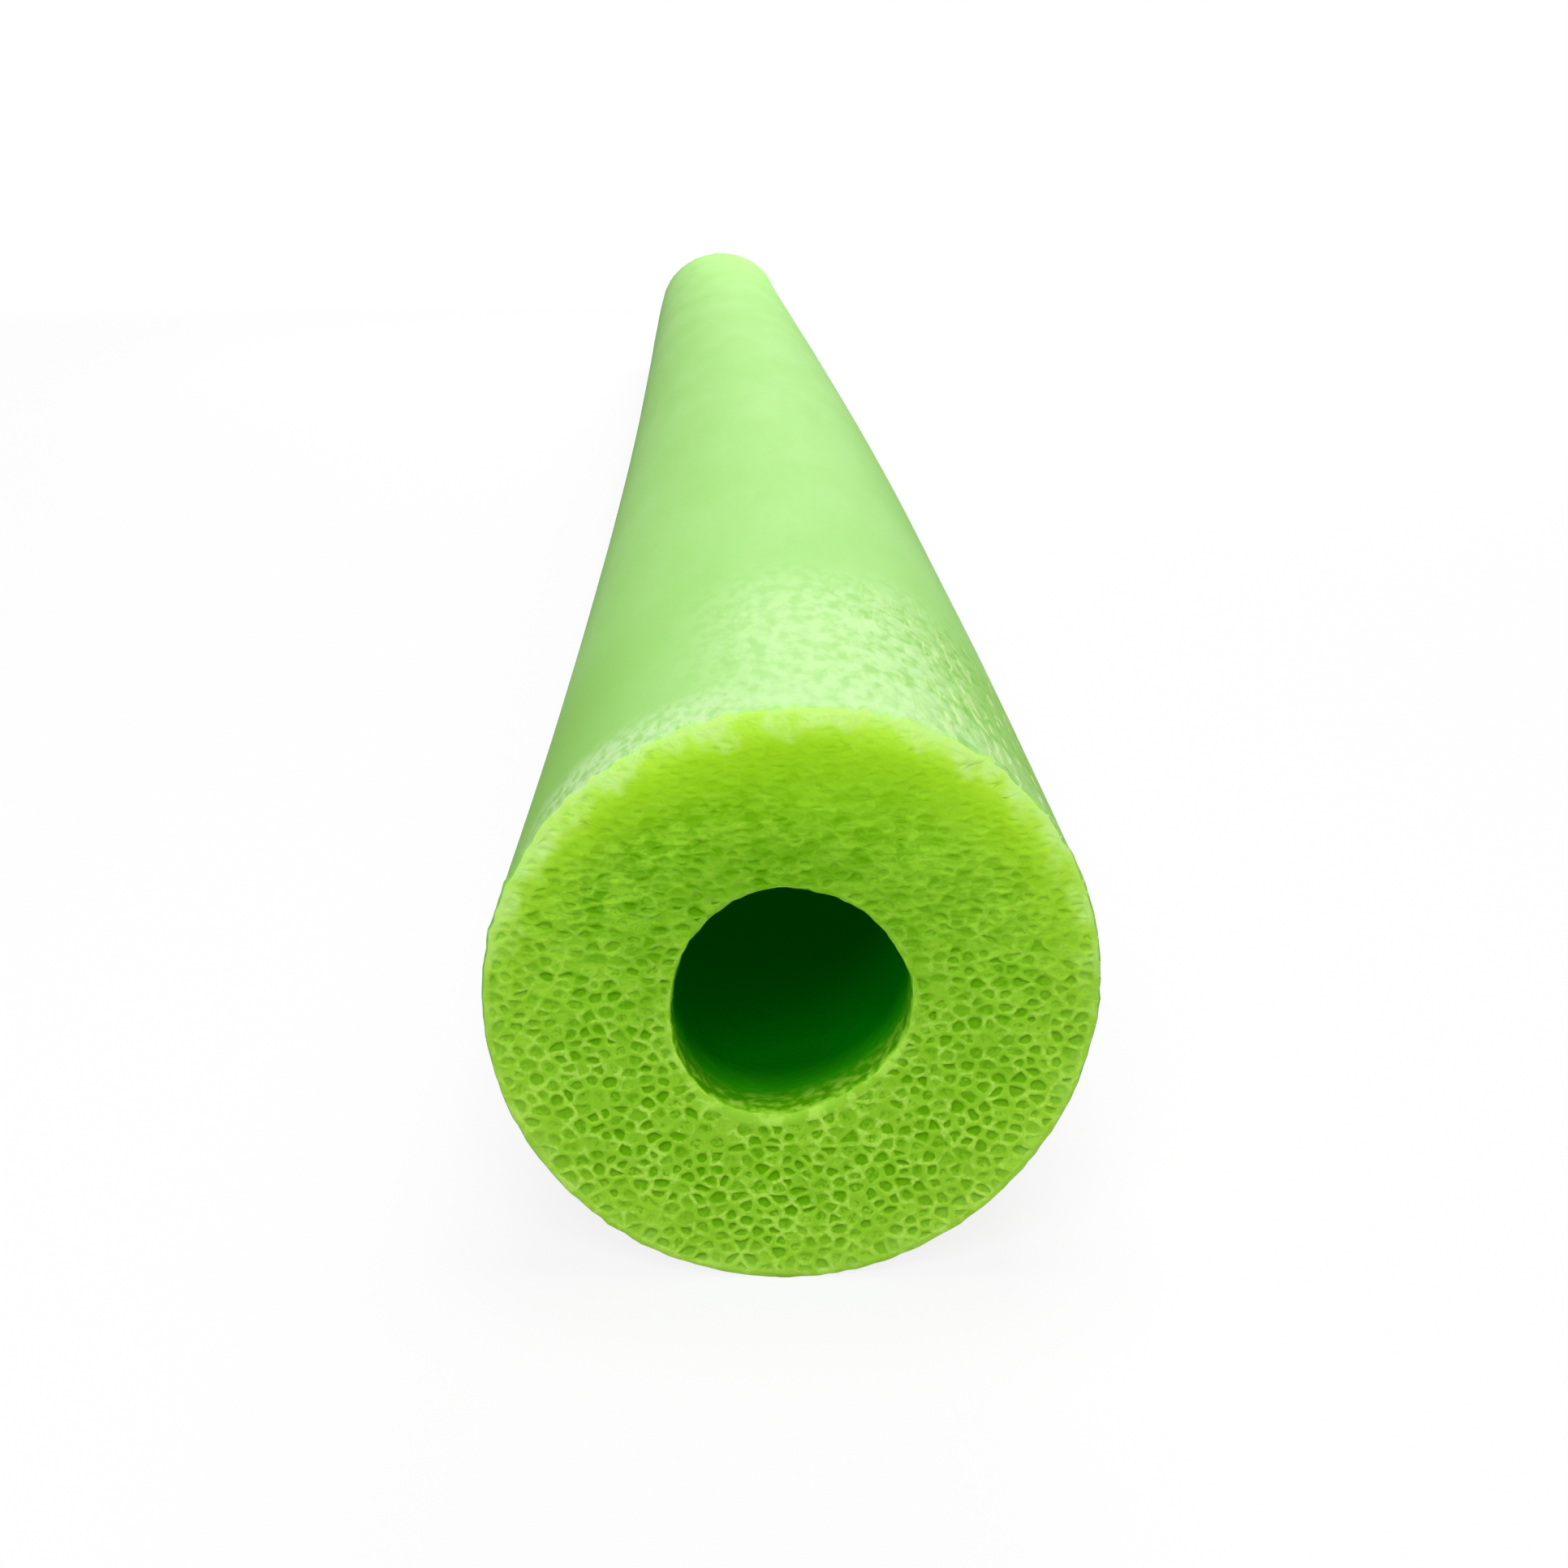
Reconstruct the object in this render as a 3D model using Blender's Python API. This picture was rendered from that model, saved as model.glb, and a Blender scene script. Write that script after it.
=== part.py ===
"""A pool noodle: one length of closed-cell polyethylene foam tube.

The foam leaves a ring-shaped die as a tube with a thin skin outside and in the bore, and a
blade cuts it square to length. It has no other pieces. Soft foam is never quite true: the
tube is a little oval, its bore sits a little off its centre, and it has taken a slight
sideways bow in storage.

Metres, +Z up. The noodle lies on the plane z = 0 along Y. Its near cut faces -Y, and the
origin is on that plane below the middle of its box.
"""

import math

import bmesh
import bpy
from mathutils import Matrix, Vector

# What a noodle is sold by
LENGTH = 1.2
OUTER_DIAMETER = 0.065
BORE_DIAMETER = 0.0254

# Sideways bow: how far the centre line leaves the straight, towards +X
BOW = 0.0031

# How far the skin leaves a circle: an oval swell and a three-sided one, each with the
# direction of its crest, counted from +X towards +Z
SKIN_OVAL = 0.0007
SKIN_OVAL_TILT = math.radians(24)
SKIN_TRILOBE = 0.0003
SKIN_TRILOBE_TILT = math.radians(37)

# The same for the bore, and how far its centre lies from the centre of the skin
BORE_OVAL = 0.0004
BORE_OVAL_TILT = math.radians(34)
BORE_TRILOBE = 0.0004
BORE_TRILOBE_TILT = math.radians(-4)
BORE_SHIFT_ACROSS = -0.0004
BORE_SHIFT_UP = -0.0003

# Facets round the tube, and steps along it
SIDES = 64
STEPS = 30

# Pale satin skin, and the deeper green of the cut cells. Linear colours.
SKIN_COLOUR = (0.46, 0.82, 0.30, 1.0)
SKIN_ROUGHNESS = 0.5
CUT_COLOUR = (0.22, 0.50, 0.03, 1.0)
CUT_ROUGHNESS = 0.7


def swollen_circle(diameter, oval, oval_tilt, trilobe, trilobe_tilt, centre):
    """Points of one section's outline, in its own plane: X across the tube and Z up."""
    points = []
    for side in range(SIDES):
        angle = math.tau * side / SIDES
        radius = diameter / 2
        radius += oval * math.cos(2 * (angle - oval_tilt))
        radius += trilobe * math.cos(3 * (angle - trilobe_tilt))
        spoke = Vector((math.cos(angle), 0, math.sin(angle)))
        points.append(centre + radius * spoke)
    return points


def skin_outline():
    """The outside. Its lowest facet is level, because the foam rests on it."""
    points = swollen_circle(
        OUTER_DIAMETER, SKIN_OVAL, SKIN_OVAL_TILT, SKIN_TRILOBE, SKIN_TRILOBE_TILT, Vector()
    )
    rest_level = sorted(point.z for point in points)[1]
    for point in points:
        point.z = max(point.z, rest_level)
    return points


def bore_outline():
    """The hollow that runs right through, where a joining plug or a rope goes in."""
    centre = Vector((BORE_SHIFT_ACROSS, 0, BORE_SHIFT_UP))
    return swollen_circle(
        BORE_DIAMETER, BORE_OVAL, BORE_OVAL_TILT, BORE_TRILOBE, BORE_TRILOBE_TILT, centre
    )


def section_at(share):
    """Placement of the section at a share of the length, square to the bowed centre line."""
    # This cubic starts and ends at 0 and peaks at 1 a third of the way along: the bow is
    # strongest near the near cut, and the far part runs straight.
    swing = 27 / 4 * share * (1 - share) ** 2
    swing_rate = 27 / 4 * (1 - share) * (1 - 3 * share)
    heading = -math.atan(BOW * swing_rate / LENGTH)
    place = Vector((BOW * swing, (share - 1 / 2) * LENGTH, 0))
    return Matrix.Translation(place) @ Matrix.Rotation(heading, 4, "Z")


def draw_straight_tube(bm):
    """Pushes the ring between skin and bore along Y, as the die does. Finish 1 is cut foam."""
    skin = [bm.verts.new(point) for point in skin_outline()]
    bore = [bm.verts.new(point) for point in bore_outline()]
    ring = []
    for side in range(SIDES):
        after = (side + 1) % SIDES
        ring.append(bm.faces.new((skin[side], skin[after], bore[after], bore[side])))
    for step in range(STEPS):
        grown = bmesh.ops.extrude_face_region(bm, geom=ring)["geom"]
        if step > 0:  # the first ring stays as the near cut, and a later one is inside
            bmesh.ops.delete(bm, geom=ring, context="FACES_ONLY")
        ring = [part for part in grown if isinstance(part, bmesh.types.BMFace)]
        front = [part for part in grown if isinstance(part, bmesh.types.BMVert)]
        bmesh.ops.translate(bm, verts=front, vec=(0, LENGTH / STEPS, 0))
    bmesh.ops.recalc_face_normals(bm, faces=bm.faces)
    mid_wall = (OUTER_DIAMETER + BORE_DIAMETER) / 4
    for face in bm.faces:
        centre = face.calc_center_median()
        face.material_index = int(math.hypot(centre.x, centre.z) < mid_wall)
        if abs(face.normal.y) > 1 / 2:
            face.material_index = 1


def bend_and_rest(bm):
    """Lays the straight tube along the bow, with its lowest facet on z = 0."""
    for vert in bm.verts:
        vert.co = section_at(vert.co.y / LENGTH) @ Vector((vert.co.x, 0, vert.co.z))
    low = Vector([min(vert.co[axis] for vert in bm.verts) for axis in range(3)])
    high = Vector([max(vert.co[axis] for vert in bm.verts) for axis in range(3)])
    middle = (low + high) / 2
    bmesh.ops.translate(bm, verts=bm.verts, vec=(-middle.x, -middle.y, -low.z))


def foam_material(name, colour, roughness):
    material = bpy.data.materials.new(name)
    material.use_nodes = True
    shader = material.node_tree.nodes["Principled BSDF"]
    shader.inputs["Base Color"].default_value = colour
    shader.inputs["Roughness"].default_value = roughness
    shader.inputs["Metallic"].default_value = 0.0
    material.diffuse_color = colour
    return material


def make_foam_tube():
    bm = bmesh.new()
    draw_straight_tube(bm)
    bend_and_rest(bm)
    mesh = bpy.data.meshes.new("foam_tube")
    bm.to_mesh(mesh)
    bm.free()
    mesh.materials.append(foam_material("foam_skin", SKIN_COLOUR, SKIN_ROUGHNESS))
    mesh.materials.append(foam_material("cut_foam", CUT_COLOUR, CUT_ROUGHNESS))
    mesh.shade_smooth()
    mesh.set_sharp_from_angle(angle=math.radians(40))
    tube = bpy.data.objects.new("foam_tube", mesh)
    bpy.context.scene.collection.objects.link(tube)
    return tube


for old in list(bpy.data.objects):
    bpy.data.objects.remove(old)
make_foam_tube()
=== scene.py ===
# %% [markdown]
# # A pool noodle
#
# The object is one length of polyethylene foam tube, lying on its side and seen from just
# above its near cut. Three things make it look real: the open cells on the cut, the pale
# satin skin that the extruder's die left round it, and light that soaks a few millimetres
# into the foam. This script makes one closed mesh, gives each of its three surfaces its own
# material, and then sets up the camera and a plain studio.
#
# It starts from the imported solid, which fixes the size and place of everything.

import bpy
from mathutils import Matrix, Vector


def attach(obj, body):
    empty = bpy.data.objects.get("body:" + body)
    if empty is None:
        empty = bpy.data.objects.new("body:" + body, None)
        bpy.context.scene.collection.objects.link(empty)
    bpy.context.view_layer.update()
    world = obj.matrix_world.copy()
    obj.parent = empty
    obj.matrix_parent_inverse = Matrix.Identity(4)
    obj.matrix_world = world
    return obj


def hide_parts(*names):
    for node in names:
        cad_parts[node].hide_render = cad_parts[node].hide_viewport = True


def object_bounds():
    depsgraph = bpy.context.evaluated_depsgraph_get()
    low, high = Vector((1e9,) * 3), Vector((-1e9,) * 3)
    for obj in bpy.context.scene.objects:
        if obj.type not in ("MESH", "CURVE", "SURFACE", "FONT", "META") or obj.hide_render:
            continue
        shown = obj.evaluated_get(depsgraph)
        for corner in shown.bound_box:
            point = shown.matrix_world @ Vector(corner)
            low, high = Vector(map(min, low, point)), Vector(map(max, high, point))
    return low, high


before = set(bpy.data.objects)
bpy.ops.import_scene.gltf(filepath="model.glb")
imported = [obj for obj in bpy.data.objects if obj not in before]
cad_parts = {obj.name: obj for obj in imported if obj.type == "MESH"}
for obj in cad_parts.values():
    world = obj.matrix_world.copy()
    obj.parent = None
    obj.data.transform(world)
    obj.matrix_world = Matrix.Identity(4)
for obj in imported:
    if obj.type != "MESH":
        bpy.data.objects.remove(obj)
cad_low, cad_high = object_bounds()
print("packed solid, mm:", [round(1000 * side, 1) for side in cad_high - cad_low])

# %% The other modules
import math

import bmesh
import bpy
import numpy as np
from mathutils import Matrix, Vector, geometry, noise

print("Blender", bpy.app.version_string)

# %% [markdown]
# ## The form of the tube
#
# A noodle is sold by its length and its outside, and the bore takes the usual joining plugs.
# Soft foam is never true, though. The skin and the bore are each a little oval and a little
# three-sided, the bore sits off centre, and the whole tube has taken a slight bow. These are
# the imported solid's sizes, so the detailed mesh fits the same space.
#
# The solid's own mesh could be subdivided. But its 64 facets would stay visible as flats,
# so the outlines are drawn again as smooth curves from the same sizes.

# %% Sizes of the tube
MM = 0.001
LENGTH = 1200 * MM
OUTER_DIAMETER = 65 * MM
BORE_DIAMETER = 25.4 * MM
BOW = 3.1 * MM

SKIN_SWELL = dict(oval=0.7 * MM, oval_tilt=24, trilobe=0.3 * MM, trilobe_tilt=37)
BORE_SWELL = dict(oval=0.4 * MM, oval_tilt=34, trilobe=0.4 * MM, trilobe_tilt=-4)
BORE_SHIFT_ACROSS = -0.4 * MM
BORE_SHIFT_UP = -0.3 * MM
print("foam wall, mm:", round(500 * (OUTER_DIAMETER - BORE_DIAMETER), 1))


# %% Outlines of skin and bore
def swell(angle, oval, oval_tilt, trilobe, trilobe_tilt):
    """How far an outline leaves its circle, with its tilts in degrees."""
    two = np.cos(2 * (angle - math.radians(oval_tilt)))
    three = np.cos(3 * (angle - math.radians(trilobe_tilt)))
    return oval * two + trilobe * three


def skin_edge(angle):
    """Radius of the skin at an angle from +X towards +Z."""
    return OUTER_DIAMETER / 2 + swell(angle, **SKIN_SWELL)


def bore_edge(angle):
    """Radius of the bore's wall, also counted from the axis of the skin."""
    own = np.linspace(0, math.tau, 360, endpoint=False)
    radius = BORE_DIAMETER / 2 + swell(own, **BORE_SWELL)
    across = BORE_SHIFT_ACROSS + radius * np.cos(own)
    up = BORE_SHIFT_UP + radius * np.sin(own)
    return np.interp(angle, np.arctan2(up, across), np.hypot(across, up), period=math.tau)


whole_turn = np.linspace(0, math.tau, 2 * 360 + 1)
print("skin across, mm:", round(2000 * skin_edge(whole_turn).mean(), 2))
print("bore across, mm:", round(2000 * bore_edge(whole_turn).mean(), 2))

# %% [markdown]
# ## Laying the tube down
#
# Everything is modelled on a straight tube first, as points (across, along, up) counted
# from the middle of the near cut. One function then bends those points along the bow and
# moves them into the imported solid's box, which keeps every formula short. A Curve modifier
# could bend it too, but it would also twist the section.


# %% Bend and place
def bend(points):
    """Points of the straight tube, laid along the bowed centre line."""
    across, along, up = np.asarray(points, float).T
    share = along / LENGTH
    swing = 27 / 4 * share * (1 - share) ** 2  # 1 at a third of the length, where it is most
    swing_rate = 27 / 4 * (1 - share) * (1 - 3 * share)
    heading = np.arctan(BOW * swing_rate / LENGTH)
    x = BOW * swing + across * np.cos(heading)
    y = along - across * np.sin(heading)
    return np.column_stack((x, y, up))


OUTLINES = 61  # of the smooth tube, from cut to cut
outline = skin_edge(whole_turn) * (np.cos(whole_turn), np.sin(whole_turn))
across, up = np.tile(outline, OUTLINES)
along = np.repeat(np.linspace(0, LENGTH, OUTLINES), len(whole_turn))
bare = bend(np.column_stack((across, along, up)))
OFFSET = (np.array(cad_low) + np.array(cad_high)) / 2 - (bare.min(0) + bare.max(0)) / 2
OFFSET[2] = cad_high[2] - bare[:, 2].max()
print("axis above the floor, mm:", round(1000 * OFFSET[2], 2))


def lay_down(points):
    """Bends the points, places them, and flattens the skin where it rests on the floor."""
    placed = bend(points) + OFFSET
    placed[:, 2] = np.maximum(placed[:, 2], 0)
    return placed


# %% [markdown]
# ## Where the cells lie
#
# Polyethylene foam is full of closed gas cells, 1 to 2 mm across in a noodle, packed like
# soap bubbles. A blade opens one layer of them. The walls that are left form a net of
# polygons, as a Voronoi diagram does: each cell takes the area nearest to its centre. Centres
# thrown at random lie too unevenly, so each throw is kept only if it leaves room for its cell.
# Big cells are thrown first, and smaller ones fill in.
#
# The blade came down from above and dragged the upper cells flat. So the throwing is done on
# a sheet that is stretched upwards, and the finished net is let back to its real height.

# %% The stretched sheet
FLATTENED_BELOW = 1.2
FLATTENED_ABOVE = 2.0
FLATTENING_HEIGHT = 8 * MM
BLADE_FADE = 6 * MM
SHEET_REACH = 40 * MM
SHEET_LEVELS = 161


def above(ups, height):
    """0 well below this height and 1 well above it."""
    return 1 / (1 + np.exp((height - ups) / BLADE_FADE))


levels = np.linspace(-SHEET_REACH, SHEET_REACH, SHEET_LEVELS)
rising = above(levels, FLATTENING_HEIGHT)
flattening = FLATTENED_BELOW + (FLATTENED_ABOVE - FLATTENED_BELOW) * rising
sheet_levels = np.concatenate(([0], np.cumsum((flattening[1:] + flattening[:-1]) / 2)))
sheet_levels *= levels[1] - levels[0]


def on_sheet(places):
    return np.column_stack((places[:, 0], np.interp(places[:, 1], levels, sheet_levels)))


def off_sheet(places):
    return np.column_stack((places[:, 0], np.interp(places[:, 1], sheet_levels, levels)))


print("height of the sheet, mm:", round(1000 * sheet_levels[-1], 1))

# %% Throw the cells' centres
CELL_THROWS = ((2.4 * MM, 130), (1.8 * MM, 4500), (1.25 * MM, 16000))
CLOSENESS = 0.88
SKIN_WALL = 0.6 * MM
LIP_WALL = 0.45 * MM
LOWER_LIP_WALL = 1.5 * MM


def lip_edge(angles):
    """Where the open cells start. The blade squeezed the bore's lower lip shut."""
    low_down = np.maximum(-np.sin(angles), 0) ** 2
    return bore_edge(angles) + LIP_WALL + (LOWER_LIP_WALL - LIP_WALL) * low_down


def throw_centres(draw):
    """Places (across, up) of the cells that one cut opens."""
    centres = np.zeros((0, 2))
    widths = np.zeros(0)
    for width, throws in CELL_THROWS:
        angles = draw.uniform(0, math.tau, throws)
        low = lip_edge(angles) + width / 4
        high = skin_edge(angles) - SKIN_WALL - width / 4
        radii = np.sqrt(draw.uniform(low**2, high**2))
        thrown = np.column_stack((radii * np.cos(angles), radii * np.sin(angles)))
        for place in on_sheet(thrown):
            room = (widths + width) / 2 * CLOSENESS
            if np.all(np.hypot(*(centres - place).T) > room):
                centres = np.vstack((centres, place))
                widths = np.append(widths, width)
    return off_sheet(centres)


near_centres = throw_centres(np.random.default_rng(7))
print("cells on the near cut:", len(near_centres))

# %% [markdown]
# ## From centres to a net of walls
#
# Blender has no Voronoi tool for points, but a Delaunay triangulation is the next best thing:
# each triangle's circumcentre is a corner where three walls meet. Mirrored centres beyond the
# skin and inside the bore make the outermost walls follow the two edges. Bubbles never meet
# in a very short wall, so corners that lie close together become one.

# %% Mirrored centres and circumcentres
MIRRORED_BAND = 4 * MM


def polar(places):
    """Angles and radii of places (across, up)."""
    return np.arctan2(places[:, 1], places[:, 0]), np.hypot(*places.T)


def mirrored(centres):
    """The centres near the skin and the bore, mirrored across them."""
    angles, radii = polar(centres)
    spokes = centres / radii[:, None]
    skin, bore = skin_edge(angles) - SKIN_WALL, lip_edge(angles)
    at_skin, at_bore = radii > skin - MIRRORED_BAND, radii < bore + MIRRORED_BAND
    beyond = (2 * skin - radii)[at_skin, None] * spokes[at_skin]
    inside = (2 * bore - radii)[at_bore, None] * spokes[at_bore]
    return np.vstack((beyond, inside))


def circumcentres(corners):
    """Centres of the circles through the three points of each triangle."""
    a, b, c = corners[:, 0], corners[:, 1], corners[:, 2]
    b, c = b - a, c - a
    double = 2 * (b[:, 0] * c[:, 1] - b[:, 1] * c[:, 0])
    bb, cc = (b**2).sum(1), (c**2).sum(1)
    x = (c[:, 1] * bb - b[:, 1] * cc) / double
    y = (b[:, 0] * cc - c[:, 0] * bb) / double
    return a + np.column_stack((x, y))


print("mirrored centres:", len(mirrored(near_centres)))


# %% Walls of a net
def pairs(ring):
    """Each corner of a ring with the next one."""
    return zip(ring, ring[1:] + ring[:1])


def named(one, other):
    """The name of a wall: its two corners, the lower number first."""
    return min(one, other), max(one, other)


def count_walls(cells):
    """How many cells have each wall."""
    walls = {}
    for ring in cells:
        for one, other in pairs(ring):
            walls[named(one, other)] = walls.get(named(one, other), 0) + 1
    return walls


print("walls of one square cell:", list(count_walls([[0, 1, 2, 3]])))

# %% Merge close corners
SHORTEST_WALL = 0.22 * MM


def merge_close(corners, cells):
    """Makes one corner of those that a very short wall joins."""
    leader = list(range(len(corners)))

    def lead(corner):
        while leader[corner] != corner:
            corner = leader[corner]
        return corner

    for ring in cells:
        for one, other in pairs(ring):
            if np.hypot(*(corners[one] - corners[other])) < SHORTEST_WALL:
                leader[lead(one)] = lead(other)
    merged = []
    for ring in cells:
        led = [lead(corner) for corner in ring]
        led = [corner for place, corner in enumerate(led) if corner != led[place - 1]]
        if len(led) > 2:
            merged.append(led)
    return merged


four_corners = np.array([(0, 0), (1, 0), (1, 0.1), (0, 1)]) * MM
print("four corners, two of them close:", merge_close(four_corners, [[0, 1, 2, 3]]))

# %% Build the net
POINT_MERGE = 1e-6  # in millimetres


def even_edges(corners, cells):
    """Moves the corners of the outermost walls onto even outlines along skin and bore."""
    edge = sorted({end for wall, count in count_walls(cells).items() if count == 1 for end in wall})
    angles, radii = polar(corners[edge])
    outer = radii > (OUTER_DIAMETER + BORE_DIAMETER) / 4
    even = np.where(outer, skin_edge(angles) - SKIN_WALL, lip_edge(angles))
    corners[edge] *= (even / radii)[:, None]
    return corners


def net_of_walls(centres):
    """Corners (across, up) of the walls, and for each cell the corners round it."""
    every = on_sheet(np.vstack((centres, mirrored(centres))))
    flat = [Vector(place) for place in every / MM]
    triangles = geometry.delaunay_2d_cdt(flat, [], [], 0, POINT_MERGE)[2]
    corners = circumcentres(every[np.array(triangles)])
    around = [[] for _ in every]
    for index, triangle in enumerate(triangles):
        for centre in triangle:
            around[centre].append(index)
    cells = []
    for centre, ring in zip(every[: len(centres)], around):
        angles, _ = polar(corners[ring] - centre)
        cells.append([ring[place] for place in np.argsort(angles)])
    cells = merge_close(corners, cells)
    return even_edges(off_sheet(corners), cells), cells


near_corners, near_cells = net_of_walls(near_centres)
print("walls round a cell:", round(np.mean([len(ring) for ring in near_cells]), 2))

# %% [markdown]
# ## One growing mesh
#
# The tube is a single closed surface: two cuts, the skin between them and the bore's wall.
# Its points and faces are collected in plain lists. Each part shares the points along its
# edge with the next one, so nothing has to be welded later. Each point also keeps how deep it
# lies in an open cell, for the material of the cut.

# %% Lists and helpers of the mesh
SKIN, CUT, BORE = range(3)
points = []
faces = []
finishes = []
notes = {"wall_top": [], "cell_depth": [], "cell_shade": []}


def add_points(places, wall_top=0.0, cell_depth=0.0, cell_shade=0.5):
    """Adds rows of (across, along, up) with their notes, and returns their numbers."""
    first = len(points)
    points.extend(map(tuple, places))
    for note, value in zip(notes.values(), (wall_top, cell_depth, cell_shade)):
        note.extend(np.broadcast_to(value, len(places)).tolist())
    return list(range(first, len(points)))


def add_face(finish, *corners):
    faces.append(corners)
    finishes.append(finish)


def join_rings(one, other, finish):
    """Quads between two rings with as many points each."""
    for here in range(len(one)):
        add_face(finish, one[here - 1], one[here], other[here], other[here - 1])


print("each point keeps:", list(notes))

# %% [markdown]
# ## Opening the cells
#
# Each polygon of the net becomes an open cell, in four steps from the net inwards: the crest
# of the wall, which the two neighbours share; the rim of the opening, rounded because soap
# films thicken where they meet; the foot of the wall; and the middle of the floor. Walls are
# bent a little, as real ones are. Depths differ a lot, because the blade passes near the top
# of one bubble and through the middle of the next. Some bubbles are barely opened and stay
# covered by a film.
#
# A bump map could fake such pits. But they fill half the picture, and only real geometry
# gives them an inside that shades itself.

# %% How the blade ran
WAVINESS = 0.2 * MM
WAVE_WIDTH = 9 * MM
ROLL = 1.3 * MM
ROLL_WIDTH = 4 * MM


def from_skin(places):
    """Distance from the skin's outline at these places (across, up)."""
    angles, radii = polar(places)
    return np.maximum(skin_edge(angles) - radii, 0)


def inwards_waves(places):
    """How far the blade's cut lies into the foam at these places (across, up)."""
    heights = np.array([noise.noise(Vector((x, up, 0)) / WAVE_WIDTH) for x, up in places])
    upper = np.clip(places[:, 1] / (OUTER_DIAMETER / 2), 0, 1)
    rolled = np.maximum(1 - from_skin(places) / ROLL_WIDTH, 0) ** 2
    return WAVINESS * (1 + heights) + ROLL * upper * rolled


rim_top = np.array([(0, OUTER_DIAMETER / 2)])
print("the rim's top lies back by, mm:", (1000 * inwards_waves(rim_top)).round(2))

# %% How deep the cells are
SMEARED_DEPTH_SHARE = 0.15
SMEARED_HEIGHT = 12 * MM
DEEPEST = 0.7 * MM
SHALLOWEST_SHARE = 0.25
DEPTH_SPREAD = (1.6, 2.4)
FILM_SHARE = 0.27
FILM_DEPTH = 0.25 * MM
HIGHEST_FILM_SHARE = 0.4


def openness(ups):
    """1 where the blade left the cells open, low down, and less where it smeared them."""
    return 1 + (SMEARED_DEPTH_SHARE - 1) * above(ups, SMEARED_HEIGHT)


def cell_depths(draw, count):
    """Some cells keep a film near the cut, and the rest reach deeper."""
    films = FILM_DEPTH * draw.uniform(HIGHEST_FILM_SHARE, 1, count)
    pits = SHALLOWEST_SHARE + (1 - SHALLOWEST_SHARE) * draw.beta(*DEPTH_SPREAD, count)
    return np.where(draw.uniform(size=count) < FILM_SHARE, films, DEEPEST * pits)


print("share of depth, low and high:", openness(np.array((-30, 30)) * MM).round(2))

# %% Round an opening
HALF_WALL = 0.21 * MM
LEAST_OPENING_SHARE = 0.3
WIDEST_OPENING_SHARE = 0.9
FOLD_TRIES = 8


def rounded(spokes, half_wall):
    """The opening that walls leave, with soft corners and never folded over a wall."""
    reach = np.hypot(*spokes.T)[:, None]
    opening = spokes * np.maximum(1 - half_wall / reach, LEAST_OPENING_SHARE)
    opening = opening / 2 + (np.roll(opening, 1, 0) + np.roll(opening, -1, 0)) / 4
    opening *= np.minimum(1, WIDEST_OPENING_SHARE * reach / np.hypot(*opening.T)[:, None])
    wall = np.roll(spokes, -1, 0) - spokes
    for _ in range(FOLD_TRIES):
        inner = opening - spokes
        ahead = np.roll(opening, -1, 0) - np.roll(spokes, -1, 0)
        fold = wall[:, 0] * inner[:, 1] - wall[:, 1] * inner[:, 0] < 0
        fold |= wall[:, 0] * ahead[:, 1] - wall[:, 1] * ahead[:, 0] < 0
        if not fold.any():
            break
        opening *= WIDEST_OPENING_SHARE
    return opening


square = np.array([(1, 1), (-1, 1), (-1, -1), (1, -1)]) * MM
print("a 2 mm square's corner, mm:", (1000 * rounded(square, HALF_WALL)[0]).round(2))


# %% Find the two edges of a net
def edge_loops(walls, middles, net):
    """The two closed loops of walls that only one cell has, the longer one first."""
    after = {}
    for (one, other), count in walls.items():
        if count == 1:
            after.setdefault(one, []).append(other)
            after.setdefault(other, []).append(one)
    loops = []
    while after:
        loop = [next(iter(after))]
        while steps := after[loop[-1]]:
            step = steps.pop()
            after[step].remove(loop[-1])
            loop.append(step)
        for corner in loop:
            after.pop(corner, None)
        loop = loop[:-1]
        threaded = []
        for one, other in pairs(loop):
            threaded.append(net[one])
            if named(one, other) in middles:
                threaded.append(middles[named(one, other)])
        flat = np.array([(points[p][0], points[p][2]) for p in threaded])
        ahead = np.roll(flat, -1, 0)
        turned_left = (flat[:, 0] * ahead[:, 1] - flat[:, 1] * ahead[:, 0]).sum() > 0
        loops.append(threaded if turned_left else threaded[::-1])
    return sorted(loops, key=len, reverse=True)


print("outermost walls:", list(count_walls(near_cells).values()).count(1))

# %% Cut one end of the tube
CREST_WANDER = 0.12 * MM
WALL_BEND = 0.18
HALF_WALL_SPREAD = (0.3, 1.8)
RIM_DEPTH_SHARE = 0.12
FOOT_SHARE = 0.76
FOOT_DEPTH_SHARE = 0.8


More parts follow.
